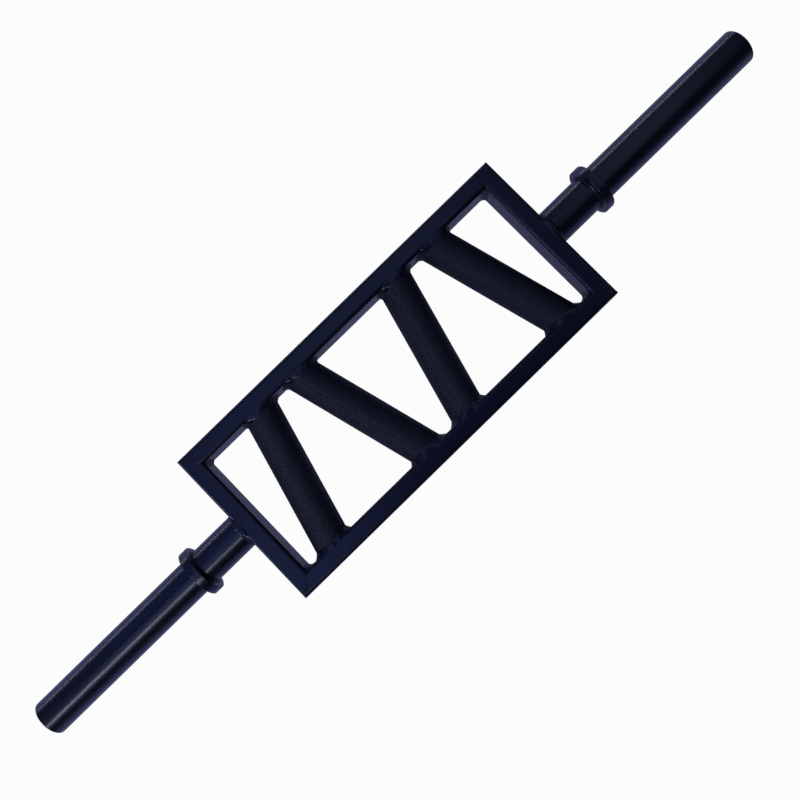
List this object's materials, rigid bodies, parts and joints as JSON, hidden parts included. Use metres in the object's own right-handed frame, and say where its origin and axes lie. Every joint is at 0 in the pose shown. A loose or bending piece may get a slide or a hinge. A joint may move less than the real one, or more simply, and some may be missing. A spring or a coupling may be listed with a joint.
{
  "type": "multi-grip barbell",
  "caption": "Welded barbell with a rectangular tube frame, slanted knurled grip bars across it, and a fixed plate sleeve with a stop collar at each end.",
  "frame": {"origin": "centre of the bar, on the common axis of the two sleeves and midway through the frame's depth", "axes": "+X along the sleeves; +Y across the frame towards the upper rail; +Z out of the frame's front face"},
  "size_m": [1.255, 0.24, 0.069],
  "materials": {
    "frame_paint": "semi-gloss black powder coat with a navy tint",
    "grip_paint": "black powder coat over diamond knurling",
    "sleeve_paint": "semi-gloss black powder coat with a navy tint",
    "weld_paint": "semi-gloss black powder coat with a navy tint, over the weld beads"
  },
  "bodies": {
    "root": {"rail_upper": "frame_paint", "rail_lower": "frame_paint", "end_member_left": "frame_paint", "end_member_right": "frame_paint", "corner_weld_upper_left": "weld_paint", "corner_weld_upper_right": "weld_paint", "corner_weld_lower_right": "weld_paint", "corner_weld_lower_left": "weld_paint", "grip_bar_1": "grip_paint", "grip_weld_1_upper": "weld_paint", "grip_weld_1_lower": "weld_paint", "grip_bar_2": "grip_paint", "grip_weld_2_upper": "weld_paint", "grip_weld_2_lower": "weld_paint", "grip_bar_3": "grip_paint", "grip_weld_3_upper": "weld_paint", "grip_weld_3_lower": "weld_paint", "grip_bar_4": "grip_paint", "grip_weld_4_upper": "weld_paint", "grip_weld_4_lower": "weld_paint", "sleeve_left": "sleeve_paint", "sleeve_weld_left": "weld_paint", "collar_left": "sleeve_paint", "collar_weld_left": "weld_paint", "end_cap_left": "sleeve_paint", "sleeve_right": "sleeve_paint", "sleeve_weld_right": "weld_paint", "collar_right": "sleeve_paint", "collar_weld_right": "weld_paint", "end_cap_right": "sleeve_paint"}
  },
  "joints": []
}
